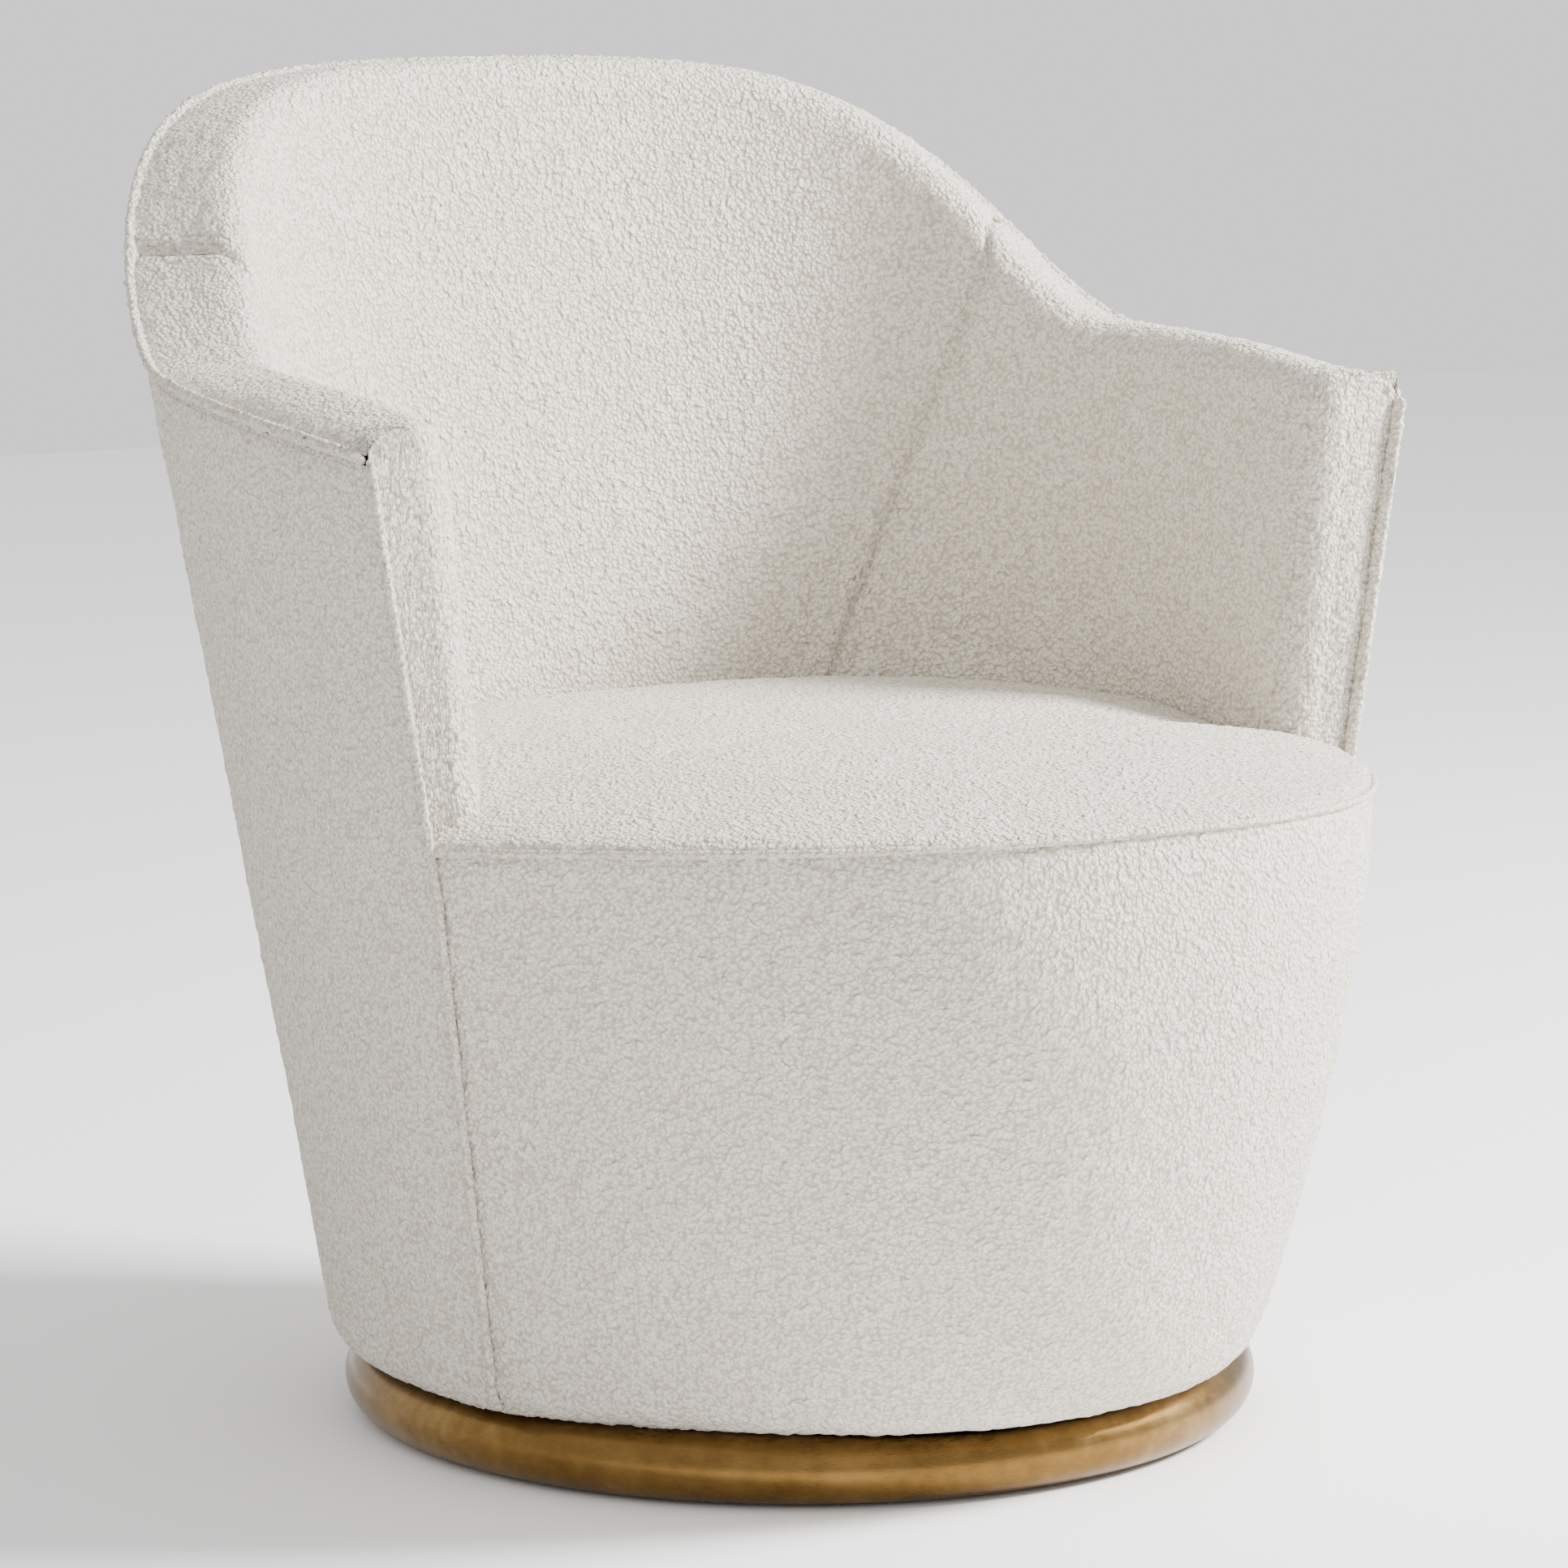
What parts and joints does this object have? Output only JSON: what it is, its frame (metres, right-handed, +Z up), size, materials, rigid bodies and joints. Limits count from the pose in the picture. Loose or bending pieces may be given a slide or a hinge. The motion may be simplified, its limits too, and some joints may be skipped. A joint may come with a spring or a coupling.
{
  "type": "swivel tub armchair",
  "caption": "Round-backed upholstered tub armchair in looped cream fabric that swivels on a low round metal-banded plinth.",
  "frame": {"origin": "on the floor at the swivel axis, which is also the middle of the overall footprint", "axes": "+Z up along the swivel axis, -Y towards the front of the seat, +X to the viewer's right when looking at the chair's front along +Y"},
  "size_m": [0.781, 0.8227, 0.8529],
  "materials": {
    "boucle": "looped cream boucle weave",
    "antique_brass": "satin antique brass",
    "birch_ply": "sawn birch plywood",
    "zinc_steel": "zinc plated",
    "spring_steel": "drawn wire",
    "foam": "open-cell foam and batting",
    "felt": "pressed felt",
    "webbing": "elastic webbing",
    "black_cambric": "thin non-woven cloth"
  },
  "bodies": {
    "plinth": {"base_board": "birch_ply", "base_core_ring": "birch_ply", "base_ring": "antique_brass", "bearing_balls": "zinc_steel", "floor_glides": "felt", "lower_plate_screws": "zinc_steel", "swivel_lower_plate": "zinc_steel", "swivel_pin": "zinc_steel"},
    "chair": {"arm_foam_left": "foam", "arm_foam_right": "foam", "arm_front_cover_left": "boucle", "arm_front_cover_right": "boucle", "arm_front_post_left": "birch_ply", "arm_front_post_right": "birch_ply", "arm_rail_left": "birch_ply", "arm_rail_right": "birch_ply", "arm_rear_post_left": "birch_ply", "arm_rear_post_right": "birch_ply", "arm_roll_foam_left": "foam", "arm_roll_foam_right": "foam", "back_foam": "foam", "back_post_left": "birch_ply", "back_post_right": "birch_ply", "back_roll_foam": "foam", "back_webbing": "webbing", "bolt_washers": "zinc_steel", "dust_cover": "black_cambric", "front_cover": "boucle", "front_foam": "foam", "front_strut_left": "birch_ply", "front_strut_right": "birch_ply", "front_welt_left": "boucle", "front_welt_right": "boucle", "inside_arm_cover_left": "boucle", "inside_arm_cover_right": "boucle", "inside_back_cover": "boucle", "outside_cover": "boucle", "outside_padding": "foam", "rim_welt": "boucle", "seat_board": "birch_ply", "seat_cover": "boucle", "seat_deck": "felt", "seat_foam": "foam", "seat_front_lip": "boucle", "seat_rail_front": "birch_ply", "seat_rail_left": "birch_ply", "seat_rail_rear": "birch_ply", "seat_rail_right": "birch_ply", "seat_springs": "spring_steel", "spring_clips": "zinc_steel", "swivel_upper_plate": "zinc_steel", "top_rail_back": "birch_ply", "upper_plate_bolts": "zinc_steel"}
  },
  "joints": [
    {"name": "swivel", "type": "hinge", "parent": "plinth", "child": "chair", "pos_m": [0, 0, 0.0491], "axis": [0, 0, 1], "continuous": true}
  ]
}
